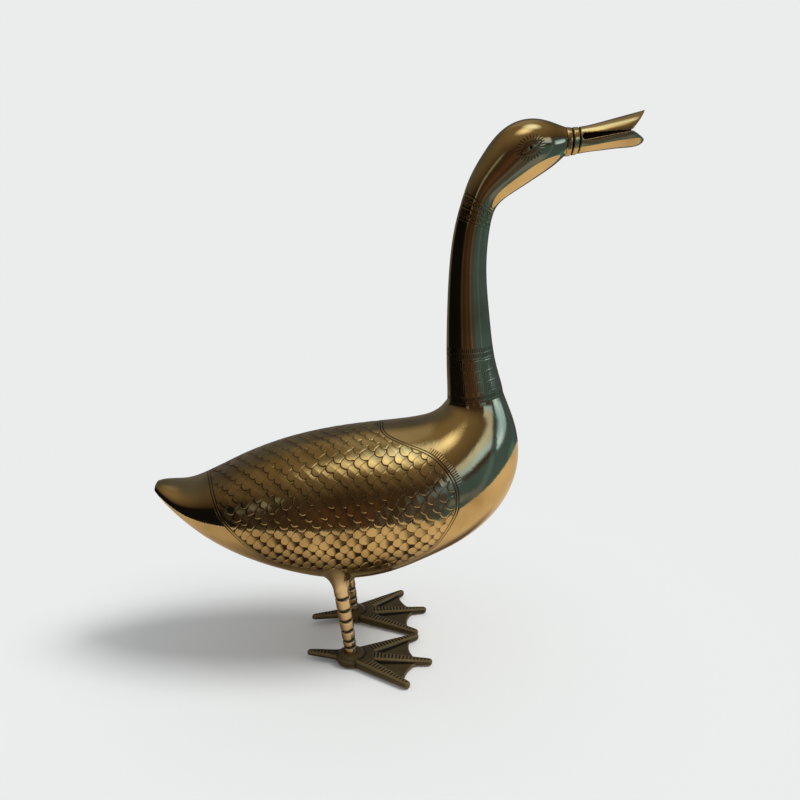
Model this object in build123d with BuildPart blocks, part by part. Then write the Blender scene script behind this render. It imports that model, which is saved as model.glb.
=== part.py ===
from build123d import *
import os
from math import atan2, cos, degrees, dist, radians, sin
from typing import NamedTuple

# Hollow-cast brass duck. Sizes are in millimetres and angles in degrees.
# +X runs from tail to bill, +Y to the bird's left and +Z up; the floor is Z = 0.
# The right-hand pieces are modelled and the left-hand ones are their mirror images.


class Station(NamedTuple):
    """One cross-section: its point on the upper line, on the lower line, and its half width."""

    upper: tuple
    lower: tuple
    half_width: float


# Walls and fits
body_wall = 2.8
neck_wall = 2.4
bill_wall = 1.8
braze_gap = 0.1
stud_gap = 0.1

# Neck joint: the neck's round foot stands on the body and a spigot goes down into a socket
seam_back = (48.0, 216.0)
seam_front = (92.4, 222.5)
neck_spigot_length = 9.0
neck_spigot_wall = 2.2
neck_socket_depth = 12.0
neck_socket_wall = 2.2
body_lip = 3.0

# Bill joint: the bill's elliptical spigot stands in the open front of the head. The joint is upright
# and is placed from the middle of the last head section.
bill_joint_reach = 5.4
bill_joint_drop = 0.3
bill_joint_height = 20.8
bill_joint_half_width = 10.0
bill_spigot_length = 5.0
bill_spigot_wall = 1.6

# Body sections from the tail to the shoulders; the last one is the neck seam
seam_radius = dist(seam_back, seam_front) / 2
seam = Station(seam_back, seam_front, seam_radius)
tail_tip = Station((-189.4, 147.4), (-190.2, 141.6), 6.5)
tail_end = Station((-182.0, 148.6), (-184.0, 135.6), 15.0)
tail_root = Station((-167.0, 148.2), (-170.0, 122.4), 26.0)
rump = Station((-148.0, 154.6), (-150.0, 105.6), 36.5)
haunch = Station((-118.0, 169.2), (-118.0, 86.6), 47.5)
loin = Station((-82.0, 182.6), (-80.0, 73.0), 56.0)
hips = Station((-42.0, 191.5), (-38.0, 66.3), 61.0)
mid_back = Station((-8.0, 195.8), (0.0, 71.5), 62.0)
shoulder = Station((16.0, 198.2), (34.0, 85.4), 60.5)
upper_wing = Station((29.0, 200.6), (62.0, 100.2), 57.0)
keel = Station((35.4, 202.9), (84.0, 118.4), 51.5)
breast = Station((40.0, 205.8), (98.6, 139.0), 45.0)
breast_front = Station((43.4, 209.0), (106.0, 166.0), 37.5)
crop = Station((46.0, 212.4), (103.4, 193.0), 29.5)
tail_sections = [tail_tip, tail_end]
trunk_sections = [tail_root, rump, haunch, loin, hips, mid_back, shoulder, upper_wing]
breast_sections = [keel, breast, breast_front, crop]

# Neck and head sections from the seam to the front of the head
neck_sections = [
    Station((47.2, 240.0), (86.8, 243.0), 19.8),
    Station((46.6, 270.0), (81.4, 271.0), 17.0),
    Station((47.0, 300.0), (78.0, 299.0), 15.2),
    Station((48.2, 326.0), (76.4, 322.0), 14.0),
    Station((51.6, 352.0), (77.4, 345.0), 13.2),
    Station((58.2, 377.0), (81.6, 364.5), 13.2),
]
head_sections = [
    Station((67.6, 398.5), (91.9, 375.0), 15.0),
    Station((80.0, 416.6), (106.2, 384.2), 18.0),
    Station((95.0, 427.6), (116.6, 391.0), 19.4),
    Station((111.0, 429.8), (124.2, 396.4), 17.4),
]
head_front = Station((123.6, 426.8), (129.6, 401.0), 12.8)
joint_x = (head_front.upper[0] + head_front.lower[0]) / 2 + bill_joint_reach
joint_z = (head_front.upper[1] + head_front.lower[1]) / 2 - bill_joint_drop


def bill_point(ahead, above):
    """A point of the bill, given from the middle of its joint."""
    return (joint_x + ahead, joint_z + above)


def bill_station(ahead, above, below, half_width):
    """An upright section of the bill, given from the middle of its joint."""
    return Station(bill_point(ahead, above), bill_point(ahead, -below), half_width)


# Bill, forward of its joint
bill_joint = bill_station(0, bill_joint_height / 2, bill_joint_height / 2, bill_joint_half_width)
bill_sections = [
    bill_station(10.0, 10.6, 8.8, 9.6),
    bill_station(19.0, 12.2, 7.2, 10.2),
    bill_station(30.0, 15.0, 5.9, 12.0),
    bill_station(42.0, 18.2, 4.6, 13.4),
    bill_station(52.0, 20.8, 3.5, 12.6),
    bill_station(56.4, 22.0, 1.8, 9.4),
    bill_station(58.2, 22.6, 0.0, 6.0),
]
bill_grooves = [
    bill_station(4.6, 10.5, 9.7, 9.8),
    bill_station(9.6, 10.6, 8.9, 9.6),
]
bill_groove_width = 1.4
bill_groove_depth = 0.7
slot_back = bill_point(13.4, 3.8)
slot_back_height = 4.6
gape = bill_point(46.0, 8.1)
gape_height = 1.0
upper_tip = bill_point(58.0, 22.4)
lower_tip = bill_point(58.2, 1.4)

# Legs: straight, vertical across the bird, leaning forward towards the foot. The ring bands are cut by
# hand and uneven; their heights are above the ankle.
leg_spacing = 70.0
leg_lean = 7.0
ankle_x = -31.3
ankle_z = 7.0
leg_foot_radius = 5.0
leg_top_radius = 6.1
leg_flare_length = 13.0
leg_flare_waist = 6.0
leg_flare_waist_radius = 7.4
leg_flare_radius = 13.0
leg_flare_sink = 1.6
leg_band_heights = (4.0, 9.0, 15.0, 24.0, 33.5, 43.0)
leg_band_width = 1.6
leg_band_depth = 0.6
tenon_radius = 3.2
tenon_length = 4.4

# Leg fixing: a stud from the top of the leg into a boss inside the body
stud_radius = 3.0
stud_length = 22.0
stud_in_leg = 12.0
boss_radius = 8.0
boss_height = 13.0
boss_hole_depth = 11.0
leg_hole_depth = 13.0

# Feet: flat below, with three webbed front toes and a hind toe
toe_out = 6.0
inner_toe_angle = 36.0
outer_toe_angle = 34.5
hind_toe_angle = 175.0
middle_toe_length = 67.4
inner_toe_length = 66.0
outer_toe_length = 61.5
hind_toe_length = 38.0
hind_toe_rise = 2.2
hind_toe_height = 5.8
toe_root_x = 4.0
toe_root_radius = 6.8
toe_tip_radius = 3.1
toe_root_height = 8.6
toe_tip_height = 5.4
toe_edge = 1.6
web_thickness = 2.6
web_middle_reach = 58.0
web_inner_reach = 60.0
web_outer_reach = 56.5
web_sag_reach = 50.0
hub_radius = 12.0
hub_height = 10.5
hub_edge = 5.0
notch_pitch = 3.0
notch_first = 19.0
notch_width = 1.2
notch_depth = 0.8
notch_rim = 1.9


def section_plane(station):
    """The plane of a section: x points to the bird's right, y from the lower to the upper line."""
    upper = Vector(station.upper[0], 0, station.upper[1])
    lower = Vector(station.lower[0], 0, station.lower[1])
    right = Vector(0, -1, 0)
    return Plane((upper + lower) / 2, x_dir=right, z_dir=right.cross(upper - lower))


def half_height(station):
    """Half the distance between the section's upper and lower points."""
    return dist(station.upper, station.lower) / 2


def section(station, inset=0.0):
    """The right half of an elliptical section, drawn in by the inset and run past the mid plane."""
    width = station.half_width - inset
    height = half_height(station) - inset
    with BuildSketch(section_plane(station)) as half:
        with BuildLine():
            under = EllipticalCenterArc((0, 0), width, height, start_angle=-110, arc_size=110)
            over = EllipticalCenterArc((0, 0), width, height, start_angle=0, arc_size=110)
            Line(over @ 1, under @ 0)
        make_face()
    return half.sketch


def beyond(start, end):
    """The point half as far again past the end, on the line from the start."""
    return tuple(b + (b - a) / 2 for a, b in zip(start, end))


def hub():
    """The rounded boss that takes the leg."""
    with BuildPart() as boss:
        with BuildSketch(foot_plane):
            Circle(hub_radius)
        extrude(amount=hub_height)
        fillet(boss.faces().sort_by(Axis.Z)[-1].edges(), hub_edge)
    return boss.part


# Planes and axes that the pieces share
seam_plane = section_plane(seam)
spigot_radius = seam_radius - body_lip
spigot_bore = spigot_radius - neck_spigot_wall
bill_spigot_inset = neck_wall + braze_gap
lean = radians(leg_lean)
ankle = Vector(ankle_x, -leg_spacing / 2, ankle_z)
leg_axis = Axis(ankle, (-sin(lean), 0, cos(lean)))
leg_side_plane = Plane(ankle, x_dir=(cos(lean), 0, sin(lean)), z_dir=(0, -1, 0))
leg_cross_plane = Plane(ankle, z_dir=leg_axis.direction)
foot_plane = Plane((ankle.X, ankle.Y, 0)).rotated((0, 0, -toe_out))

# Body form: solid, swept on into the neck and parted at the seam; the leg tops are trimmed to it
body_sections = trunk_sections + breast_sections + [seam, neck_sections[0]]
with BuildPart() as body_form:
    loft(sections=[section(station) for station in tail_sections + body_sections])
    split(bisect_by=seam_plane)

# The leg's axis meets the belly at the hip; the leg's flare is turned to the belly's slope there
belly_hits = [hit for face in body_form.faces() for hit in face.find_intersection_points(leg_axis)]
hip, belly_normal = min(belly_hits, key=lambda hit: hit[0].Z)
hip_height = (hip - ankle).length
hip_plane = leg_cross_plane.offset(hip_height)
belly_inward = belly_normal if belly_normal.Z > 0 else belly_normal * -1
flare_foot_plane = hip_plane.offset(-leg_flare_length)
flare_waist = hip_plane.offset(-leg_flare_waist).origin
flare_waist_plane = Plane(flare_waist, z_dir=leg_axis.direction + belly_inward)
flare_rim_plane = Plane(hip, z_dir=belly_inward).offset(leg_flare_sink)

# Body cavity, with metal left standing for the neck socket and the leg boss
with BuildPart() as body_cavity:
    loft(sections=[section(station, body_wall) for station in body_sections])
    with BuildSketch(seam_plane):
        Circle(spigot_radius + braze_gap + neck_socket_wall)
    extrude(amount=neck_socket_depth, both=True, mode=Mode.SUBTRACT)
    with BuildSketch(hip_plane):
        Circle(boss_radius)
    extrude(amount=boss_height, both=True, mode=Mode.SUBTRACT)

with BuildPart() as body_right_shell:
    add(body_form.part)
    add(body_cavity.part, mode=Mode.SUBTRACT)
    with BuildSketch(seam_plane):
        Circle(spigot_radius + braze_gap)
    extrude(amount=neck_socket_depth + body_wall, mode=Mode.SUBTRACT)
    with BuildSketch(hip_plane):
        Circle(stud_radius + stud_gap)
    extrude(amount=boss_hole_depth, both=True, mode=Mode.SUBTRACT)
    split(bisect_by=Plane.XZ)

with BuildPart() as body_left_shell:
    mirror(body_right_shell.part, about=Plane.XZ)

# Neck and head, with the spigot below the seam
with BuildPart() as neck_right_shell:
    upper_sections = neck_sections + head_sections + [head_front, bill_joint]
    loft(sections=[section(station) for station in [seam] + upper_sections])
    extrude(section(seam, seam_radius - spigot_radius), amount=neck_spigot_length)
    spigot_hole = section(seam, seam_radius - spigot_bore)
    extrude(spigot_hole, amount=neck_spigot_length, mode=Mode.SUBTRACT)
    cavity_sections = [spigot_hole] + [section(station, neck_wall) for station in upper_sections]
    loft(sections=cavity_sections, mode=Mode.SUBTRACT)
    split(bisect_by=Plane.XZ)

with BuildPart() as neck_left_shell:
    mirror(neck_right_shell.part, about=Plane.XZ)

# Rings of metal that are turned away to leave the bill's grooves
with BuildPart() as groove_rings:
    for groove in bill_grooves:
        ring_outside = section(groove, -bill_wall)
        ring_inside = section(groove, bill_groove_depth)
        extrude(ring_outside, amount=bill_groove_width / 2, both=True)
        extrude(ring_inside, amount=bill_groove_width / 2, both=True, mode=Mode.SUBTRACT)

# Bill: a hollow tube with grooved rings, side slots and a fish-mouth front; its right half is mirrored
with BuildPart() as bill:
    loft(sections=[section(station) for station in [bill_joint] + bill_sections])
    extrude(section(bill_joint, bill_spigot_inset), amount=bill_spigot_length)
    bill_bore = section(bill_joint, bill_spigot_inset + bill_spigot_wall)
    extrude(bill_bore, amount=bill_spigot_length, mode=Mode.SUBTRACT)
    cavity_sections = [bill_bore] + [section(station, bill_wall) for station in bill_sections]
    loft(sections=cavity_sections, mode=Mode.SUBTRACT)
    with BuildSketch(Plane.XZ):
        with Locations(slot_back):
            Circle(slot_back_height / 2)
        with Locations(gape):
            Circle(gape_height / 2)
        make_hull()
        with BuildLine():
            Polyline(gape, beyond(gape, upper_tip), beyond(gape, lower_tip), close=True)
        make_face()
    extrude(amount=2 * bill_joint_half_width, both=True, mode=Mode.SUBTRACT)
    add(groove_rings.part, mode=Mode.SUBTRACT)
    split(bisect_by=Plane.XZ)
    mirror(about=Plane.XZ)

# Leg: revolved about its axis, then trimmed to the belly
with BuildPart() as right_leg:
    with BuildSketch(leg_side_plane):
        with BuildLine():
            Polyline(
                (0, hip_height - leg_flare_length),
                (0, -tenon_length),
                (tenon_radius, -tenon_length),
                (tenon_radius, 0),
                (leg_foot_radius, 0),
                (leg_top_radius, hip_height - leg_flare_length),
                close=True,
            )
        make_face()
    revolve(axis=leg_axis)
    with BuildSketch(flare_foot_plane):
        Circle(leg_top_radius)
    with BuildSketch(flare_waist_plane):
        Circle(leg_flare_waist_radius)
    with BuildSketch(flare_rim_plane):
        Circle(leg_flare_radius)
    loft()
    with BuildSketch(leg_side_plane):
        for height in leg_band_heights:
            share = height / (hip_height - leg_flare_length)
            radius = leg_foot_radius + share * (leg_top_radius - leg_foot_radius)
            with BuildLine():
                Polyline(
                    (radius - leg_band_depth, height),
                    (radius + leg_band_depth, height - leg_band_width),
                    (radius + leg_band_depth, height + leg_band_width),
                    close=True,
                )
            make_face()
    revolve(axis=leg_axis, mode=Mode.SUBTRACT)
    add(body_form.part, mode=Mode.SUBTRACT)
    with BuildSketch(hip_plane):
        Circle(stud_radius + stud_gap)
    extrude(amount=leg_hole_depth, both=True, mode=Mode.SUBTRACT)

with BuildPart() as left_leg:
    mirror(right_leg.part, about=Plane.XZ)

with BuildPart() as right_leg_stud:
    with BuildSketch(hip_plane.offset(-stud_in_leg)):
        Circle(stud_radius)
    extrude(amount=stud_length)

with BuildPart() as left_leg_stud:
    mirror(right_leg_stud.part, about=Plane.XZ)


def toe(angle, length, root_height, tip_height, rise=0.0):
    """A toe bar from the hub outwards; its top slopes to the tip and is notched across."""
    plane = foot_plane.offset(rise).rotated((0, 0, angle))
    slope = degrees(atan2(root_height - tip_height, length))
    top_plane = plane.offset(root_height).rotated((0, slope, 0))
    tip_x = length - toe_tip_radius
    with BuildPart() as bar:
        with BuildSketch(plane):
            with Locations((toe_root_x, 0)):
                Circle(toe_root_radius)
            with Locations((tip_x, 0)):
                Circle(toe_tip_radius)
            make_hull()
        extrude(amount=2 * root_height)
        split(bisect_by=top_plane, keep=Keep.BOTTOM)
        fillet(bar.faces().sort_by(Axis.Z)[-1].edges(), toe_edge)
        with BuildSketch(top_plane):
            with Locations((toe_root_x, 0)):
                Circle(toe_root_radius - notch_rim)
            with Locations((tip_x, 0)):
                Circle(toe_tip_radius - notch_rim)
            make_hull()
            notch_count = int((tip_x - notch_first) / notch_pitch) + 1
            with Locations([(notch_first + notch * notch_pitch, 0) for notch in range(notch_count)]):
                Rectangle(notch_width, 2 * toe_root_radius, mode=Mode.INTERSECT)
        extrude(amount=-notch_depth, mode=Mode.SUBTRACT)
    return bar.part


# Foot: web, hub and toes in one casting, bored for the leg
with BuildPart() as right_foot:
    with BuildSketch(foot_plane):
        with BuildLine():
            outer_end = PolarLine((0, 0), web_outer_reach, -outer_toe_angle)
            outer_sag = Vector(web_sag_reach, 0).rotate(Axis.Z, -outer_toe_angle / 2)
            outer_edge = ThreePointArc(outer_end @ 1, outer_sag, (web_middle_reach, 0))
            inner_end = PolarLine((0, 0), web_inner_reach, inner_toe_angle)
            inner_sag = Vector(web_sag_reach, 0).rotate(Axis.Z, inner_toe_angle / 2)
            inner_edge = ThreePointArc(inner_end @ 1, inner_sag, outer_edge @ 1)
        make_face()
    extrude(amount=web_thickness)
    add(toe(0, middle_toe_length, toe_root_height, toe_tip_height))
    add(toe(inner_toe_angle, inner_toe_length, toe_root_height, toe_tip_height))
    add(toe(-outer_toe_angle, outer_toe_length, toe_root_height, toe_tip_height))
    add(toe(hind_toe_angle, hind_toe_length, hind_toe_height, hind_toe_height, hind_toe_rise))
    add(hub())
    with BuildSketch(leg_cross_plane):
        Circle(leg_foot_radius + braze_gap)
    extrude(amount=2 * hub_height, mode=Mode.SUBTRACT)
    with BuildSketch(leg_cross_plane):
        Circle(tenon_radius + braze_gap)
    extrude(amount=-tenon_length - braze_gap, mode=Mode.SUBTRACT)

with BuildPart() as left_foot:
    mirror(right_foot.part, about=Plane.XZ)

pieces = {
    "body_left_shell": body_left_shell.part,
    "body_right_shell": body_right_shell.part,
    "neck_left_shell": neck_left_shell.part,
    "neck_right_shell": neck_right_shell.part,
    "bill": bill.part,
    "left_leg": left_leg.part,
    "right_leg": right_leg.part,
    "left_leg_stud": left_leg_stud.part,
    "right_leg_stud": right_leg_stud.part,
    "left_foot": left_foot.part,
    "right_foot": right_foot.part,
}
os.makedirs("parts", exist_ok=True)
for name, piece in pieces.items():
    piece.label = name
    export_step(piece, f"parts/{name}.step")
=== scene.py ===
from math import cos, pi, radians, sin

import bpy
import numpy as np
from mathutils import Matrix, Vector
from mathutils.bvhtree import BVHTree


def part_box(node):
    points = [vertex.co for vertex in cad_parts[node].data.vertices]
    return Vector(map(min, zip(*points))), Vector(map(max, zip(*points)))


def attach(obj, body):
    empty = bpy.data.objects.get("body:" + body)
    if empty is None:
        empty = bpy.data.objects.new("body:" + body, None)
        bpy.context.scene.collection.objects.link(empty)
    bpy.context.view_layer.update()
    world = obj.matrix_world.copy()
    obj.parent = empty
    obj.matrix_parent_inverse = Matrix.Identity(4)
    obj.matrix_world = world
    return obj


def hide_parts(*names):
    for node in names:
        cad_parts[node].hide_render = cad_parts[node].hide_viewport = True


# Looks of the hollow-cast brass duck. Lengths are written in millimetres and turned into metres
# where a mesh is made. +X runs from tail to bill, +Y to the bird's left and +Z up.
# The right half is modelled and the left half is its mirror image.

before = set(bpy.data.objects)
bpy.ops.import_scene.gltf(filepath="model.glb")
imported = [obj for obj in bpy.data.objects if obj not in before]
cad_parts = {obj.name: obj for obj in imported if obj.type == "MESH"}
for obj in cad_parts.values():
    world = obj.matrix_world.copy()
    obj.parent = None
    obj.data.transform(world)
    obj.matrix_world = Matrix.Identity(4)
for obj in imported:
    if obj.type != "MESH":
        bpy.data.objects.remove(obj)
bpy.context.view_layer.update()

MM = 0.001
MIRROR = np.array([1.0, -1.0, 1.0])
rng = np.random.default_rng(11)

# Camera: the photograph's viewing angle
CAMERA_PLACE = (-9.3, -649.7, 402.0)
CAMERA_YAW = -1.7
CAMERA_PITCH = -16.0
CAMERA_LENS = 37.98
CAMERA_SENSOR = 36.0
CAMERA_NEAR = 10.0
BACKGROUND = (0.831, 0.847, 0.839)

# Light: even from all round, and a soft sun (azimuth and elevation, strength, spread in degrees)
AMBIENT = (0.5, 0.51, 0.52)
SUN_PLACE = (85.0, 53.0)
SUN_STRENGTH = 2.1
SUN_SPREAD = 24.0

# Pale matt floor, just below the soles; between these distances it runs into the background
FLOOR_COLOUR = (0.82, 0.832, 0.822)
FLOOR_ROUGHNESS = 0.9
FLOOR_SHINE = 0.1
FLOOR_REACH = 9000.0
FLOOR_DROP = 0.2
FLOOR_FADE = (200.0, 400.0)

# Brass: colours, tarnish clouds (noise scale and detail, range), and roughness over clouds and where
# darkened
BRASS = (0.82, 0.62, 0.27)
TARNISH = (0.55, 0.39, 0.16)
PALE_BRASS = (0.90, 0.74, 0.43)
PALE_TARNISH = (0.70, 0.54, 0.28)
# Dark of the cuts; the same colour is painted shade at the feather roots, the neck's seam and inside the
# bill
CUTS_AND_SHADE_DARK = (0.045, 0.027, 0.012)
BRASS_CLOUD = (26.0, 7.0)
BRASS_RANGE = (0.3, 0.62)
ROUGH_RANGE = (0.3, 0.75)
ROUGH_SHARES = (1.6, 0.8)
DARKENED_ROUGHNESS = 0.25

# Patina of the feet: colours, clouds, and the wear (edge values from and to, share from and to)
PATINA = (0.088, 0.064, 0.025)
PATINA_DARK = (0.012, 0.009, 0.005)
PATINA_SHADE = 0.6
RUBBED = (0.3, 0.22, 0.11)
PATINA_METALLIC = 0.4
PATINA_CLOUD = (60.0, 8.0)
PATINA_RANGE = (0.3, 0.7)
PATINA_WEAR = (0.4, 1.0, 0.0, 0.45)
PATINA_SOIL = 0.3
PATINA_ROUGHNESS = (0.28, 0.15)
PATINA_MARKS = 0.25

# Polishing marks: noise scale, detail and stretch, and the depth of the bump
MARK_SCALE = 900.0
MARK_DETAIL = 3.0
MARK_STRETCH = (0.25, 1, 1)
MARK_DEPTH = 0.2

# Feather lines: over these distances behind, before and from the edge a line ends or begins
EDGE_BEHIND = (0.1, 0.45)
EDGE_BEFORE = (-0.3, -0.1)
EDGE_NEAR = (0.9, 1.3)

# Guide lines for sampling the body, from the tail to the neck seam: upper and lower points (x, z)
BODY_GUIDE = [
    ((-189.4, 147.4), (-190.2, 141.6)),
    ((-182.0, 148.6), (-184.0, 135.6)),
    ((-167.0, 148.2), (-170.0, 122.4)),
    ((-118.0, 169.2), (-118.0, 86.6)),
    ((-42.0, 191.5), (-38.0, 66.3)),
    ((16.0, 198.2), (34.0, 85.4)),
    ((35.4, 202.9), (84.0, 118.4)),
    ((43.4, 209.0), (106.0, 166.0)),
    ((48.1, 215.6), (92.5, 222.1)),
]
# The same for neck and head, from the seam to the bill joint
NECK_GUIDE = [
    ((47.9, 216.4), (92.3, 222.9)),
    ((47.2, 240.0), (86.8, 243.0)),
    ((47.0, 300.0), (78.0, 299.0)),
    ((51.6, 352.0), (77.4, 345.0)),
    ((67.6, 398.5), (91.9, 375.0)),
    ((80.0, 416.6), (106.2, 384.2)),
    ((95.0, 427.6), (116.6, 391.0)),
    ((111.0, 429.8), (124.2, 396.4)),
    ((123.6, 426.8), (129.6, 401.0)),
    ((132.0, 424.0), (132.0, 403.2)),
]
BODY_ROWS, BODY_COLUMNS = ((860, 430))
NECK_ROWS, NECK_COLUMNS = ((700, 150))
CURVE_STEPS = 60
# Sampling rays: where they start, and how far off the mid plane they aim, for shells and patch outline
SAMPLE_REACH = 95.0
CENTRE_SHIFT = 0.02
MID_PLANE_GAP = 0.3
# How far a sampled point goes from its flat facet to the surface rounded between facets
ROUNDED_SHARE = 0.75
SMOOTHING_PASSES = 4
# The belly's grid is mended within this distance of a stud
STUD_CLEARANCE = 7.5
# Rounded tail end: the row it starts from, its steps and the angle of its first one
TAIL_ROUND_ROWS = 5
TAIL_STEPS = 14
TAIL_FIRST = 0.02
# Sizes of the rows that turn an open end inwards
LIP_STEPS = (0.985, 0.96, 0.9, 0.8)
# The neck's foot below the seam: how far inside, how far down, and how dark it is painted as the shade in
# the seam's groove
SKIRT_INSET = 0.22
SKIRT_DROP = 1.4
SKIRT_PAINTED_SHADE = 0.6
# Slow waves of hand-finished metal: height and length, count, spread of lengths, rows to settle in
BODY_WAVES = (0.035, 45.0)
NECK_WAVES = (0.02, 30.0)
WAVE_COUNT = 7
WAVE_SPREAD = (0.7, 1.6)
SETTLE_ROWS = 20

# Fine copies of bill and feet: voxel, weld, smoothing passes, and the depth of a full hollow and edge
FINE_VOXEL = 0.32
WELD_GAP = 0.002
FIRST_PASSES = 4
ROUNDING_PASSES = 240
EASE_PASSES = 146
FULL_HOLLOW = 0.22
FULL_EDGE = 0.3

# Feathered patch on the bird's right: its outline (x, y, z), from the ridge at the rear, under the
# flank and up to the ridge at the shoulder
PATCH_OUTLINE = [
    (-147, 0, 156),
    (-142, -20, 153),
    (-138, -33, 147),
    (-129, -44, 131),
    (-107, -44, 107),
    (-88, -40, 93),
    (-47, -45, 88),
    (-2, -44, 90),
    (30, -44, 104),
    (49, -54, 133),
    (53, -54, 150),
    (50, -52, 166),
    (33, -42, 184),
    (6, -26, 191),
    (-3, -14, 194),
    (-4, 0, 196),
]
PATCH_POINTS = 160
# The axis that the patch is laid round, and the angle past the ridge where its outline closes
PATCH_AXIS_Z = 130.0
PATCH_CLOSING_ANGLE = -0.5
# The outline's two lines, and the margin before the feathers start
PATCH_LINE_GAP = 2.1
PATCH_LINE_WIDTH = 0.45
PATCH_MARGIN = 0.4
PATCH_SOFT = 0.8
# Fringe of short strokes outside the outline, between two places
FRINGE_ENDS = ((30.0, -40.0, 185.0), (51.0, -52.5, 162.0))
FRINGE_START = 0.4
FRINGE_LENGTH = 5.0
FRINGE_PITCH = 1.9
FRINGE_SOFT = (4.0, 1.0)
FRINGE_STRENGTH = 0.8

# Feathers: they are counted rearwards from this x and round the body from its ridge
FEATHER_ORIGIN = 300.0
FEATHER_PITCH = 10.2
FEATHER_ROW = 6.9
FEATHER_LENGTH = 6.4
FEATHER_HALF_WIDTH = 5.4
FEATHER_JITTER = 0.8
FEATHER_TABLE = 64
FEATHER_DRIFT = (0.9, 42.0)
FEATHER_SLANT = 20.0
# Distance from the ridge, and the turn of a feather there from rearward towards downward
FEATHER_TURNS = ((60.0, 125.0), (38.0, 2.0))
FEATHER_DEPTH = 0.34
FEATHER_LINE = 0.42
LINE_DEPTH = 0.16
# The dip at a feather's hidden root, which is painted dark as the shade in it
SPOT_START = 1.3
SPOT_LENGTH = 4.4
SPOT_JITTER = 1.5
SPOT_GAIN = 1.6
SPOT_LOSS = 0.1
# Towards the low flank the feather lines are cut deeper and darker, the added darkness being painted
# shade, and the root dips get more painted shade: its top and reach, then values on the back and on the
# low flank
LOW_TOP = 136.0
LOW_REACH = 26.0
LINE_DARKNESS = (0.24, 0.9)
LINE_SHARE = (0.45, 1.0)
ROOT_PAINTED_SHADE = (0.08, 0.84)
LINE_DARKNESS_WAVES = (0.25, 15.0)
# Stands for no feather edge near
FAR = 9.0

# Neck engraving: heights above the seam along the neck's middle line
NECK_LINE = 32.5
NECK_LINE_WIDTH = 0.35
NECK_LINE_STRENGTH = 0.8
# Rows of ticks: lower and upper end, strength
TICK_ROWS = [
    (34.0, 37.5, 1.0),
    (38.2, 41.6, 1.0),
    (24.0, 31.0, 0.6),
    (15.5, 23.0, 0.5),
    (7.5, 14.5, 0.5),
    (1.2, 4.2, 1.0),
]
TICK_PITCH = 1.5
TICK_SOFT = 0.5
SCROLL_HEIGHTS = (139.0, 148.0)
SCROLL_PITCH = 4.2
SCROLL_RADIUS = 1.7
SCROLL_START = 0.45
SCROLL_LINES = (135.6, 143.4, 151.6)
SCROLL_LINE_STRENGTH = 0.7

# Eye: middle, tilt and half sizes of the lash ring, on the side of the head (x, z)
EYE_PLACE = (103.6, 409.3)
EYE_TILT = 33.0
EYE_HALF_LENGTH = 11.0
EYE_HALF_HEIGHT = 8.4
LID_HALF_LENGTH = 9.2
LID_HEIGHTS = (3.6, 2.2)
PUPIL_RADIUS = 1.0
LASH_COUNT = 24
LASH_START = 0.66
LASH_SOFT = 0.06
STROKE_HALF_WIDTH = 0.32

# Legs: their lean, the heights of the visible rod's start and of the ankle, ring grooves at heights above
# the ankle, and the hollow fillet under the belly
LEG_ROWS, LEG_COLUMNS = ((280, 96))
LEG_LEAN = 7.0
LEG_START = 8.0
LEG_ANKLE = 7.0
LEG_TOP_RADIUS = 6.5
BELLY_RAY_START = 40.0
LEG_RINGS = (9.0, 15.0, 24.0, 33.5, 43.0, 54.0)
RING_DEPTH = 0.6
RING_HALF_WIDTH = 1.1
RING_REACH = 2.4
FILLET_HEIGHT = 13.5
FILLET_WIDTH = 8.5
FILLET_ROWS = 24
FILLET_SINK = 0.5

# The web of a foot stands higher than in the solid: heights in the solid and here
WEB_LIFT = ((0.0, 2.6, 5.4, 12.0), (0.0, 3.8, 5.4, 12.0))

# A dark plug inside the bill, painted shade for the shaded hollow seen through its slots: for its rear and
# front end, x, middle height, half width and half height
BILL_SHADE_CORE = ((143.0, 414.8, 7.2, 7.6), (178.9, 420.1, 10.4, 9.6))
# Its rings: share of the way from rear to front, and of the size there
SHADE_CORE_RINGS = ((0, 0.05), (0, 0.8), (0.06, 1), (0.94, 1), (1, 0.8), (1, 0.05))
SHADE_CORE_SIDES = 32


def curve_through(points, count):
    """A smooth curve through the points, as count points evenly spaced along it."""
    p = np.array(points, float)
    p = np.vstack([2 * p[0] - p[1], p, 2 * p[-1] - p[-2]])
    t = np.linspace(0, 1, CURVE_STEPS, endpoint=False)[:, None]
    pieces = []
    for a, b, c, d in zip(p[:-3], p[1:-2], p[2:-1], p[3:]):
        cubic = (3 * b - a - 3 * c + d) * t**3 + (2 * a - 5 * b + 4 * c - d) * t**2
        pieces.append(0.5 * (2 * b + (c - a) * t + cubic))
    fine = np.vstack(pieces + [p[-2:-1]])
    along = np.concatenate([[0], np.cumsum(np.linalg.norm(np.diff(fine, axis=0), axis=1))])
    wanted = np.linspace(0, along[-1], count)
    return np.stack([np.interp(wanted, along, column) for column in fine.T], axis=1)


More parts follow.
